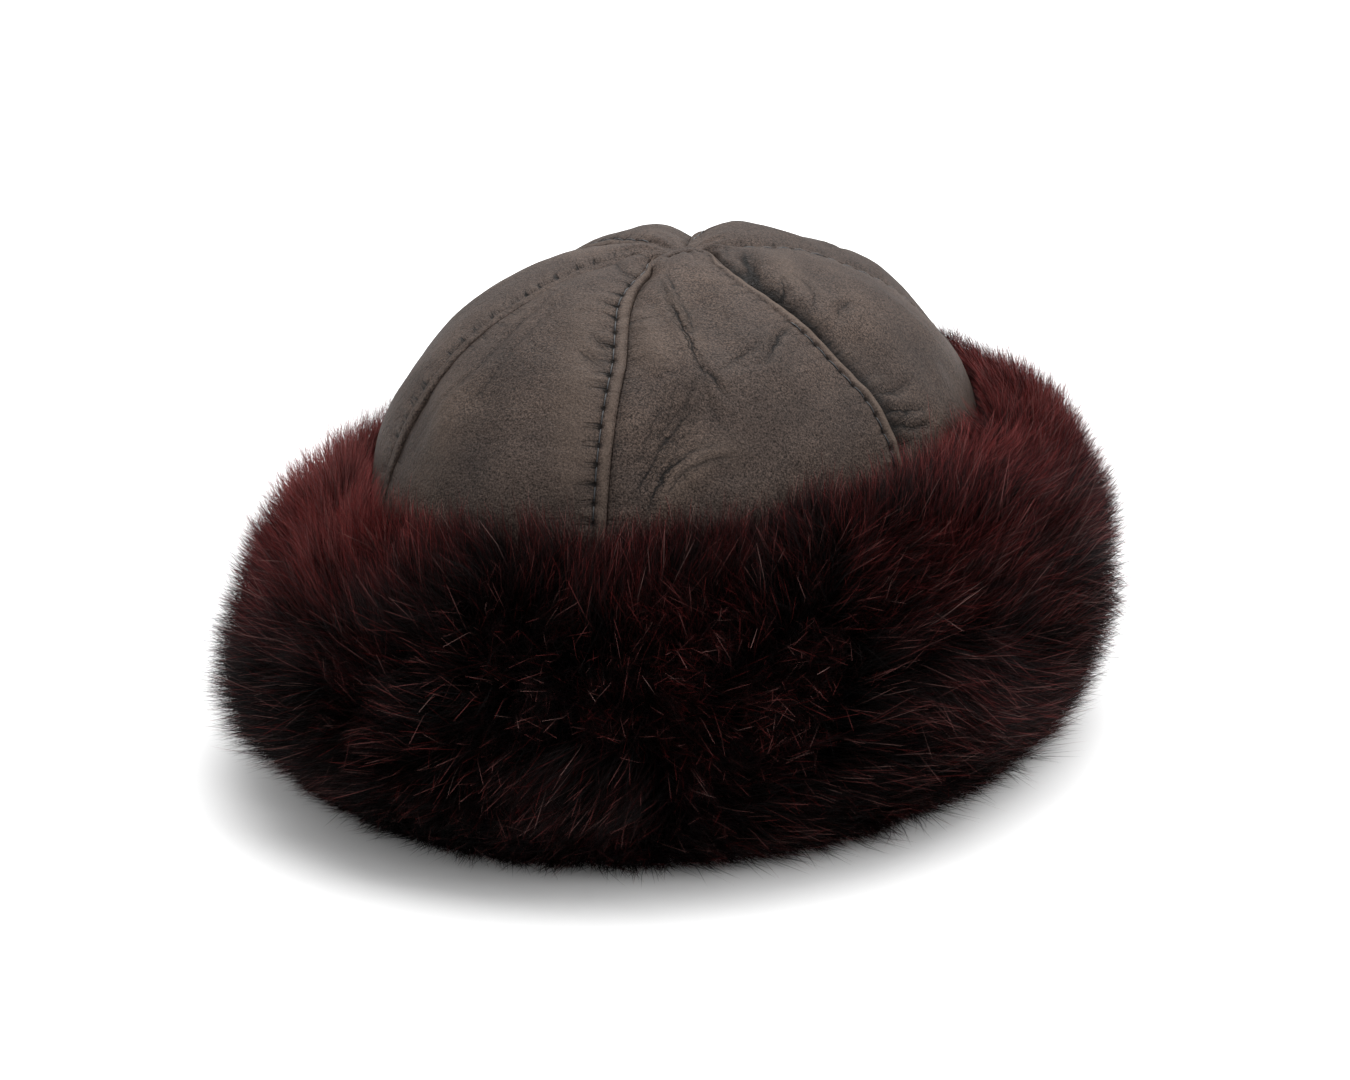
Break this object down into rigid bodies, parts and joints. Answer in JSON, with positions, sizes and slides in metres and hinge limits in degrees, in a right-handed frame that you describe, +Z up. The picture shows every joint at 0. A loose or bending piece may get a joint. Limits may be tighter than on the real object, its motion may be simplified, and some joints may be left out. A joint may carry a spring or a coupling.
{
  "type": "fur hat",
  "caption": "Rounded leather hat of sewn gores with lapped seams, with a deep soft fur cuff all round it.",
  "frame": {"origin": "on the ground at the middle of the outline of the fur", "axes": "+Z up, the front of the hat towards -Y, the wearer's left towards +X; Y is the long way of the hat"},
  "size_m": [0.2764, 0.3044, 0.1562],
  "materials": {
    "leather": "semi-matte dark taupe nappa leather with fine grain and soft creases",
    "fur": "deep burgundy dyed fur, near black in its shade, with fine lighter guard hairs"
  },
  "bodies": {
    "root": {"crown_front": "leather", "crown_left_front": "leather", "crown_left_back": "leather", "crown_back": "leather", "crown_right_back": "leather", "crown_right_front": "leather", "fur_cuff": "fur"}
  },
  "joints": []
}
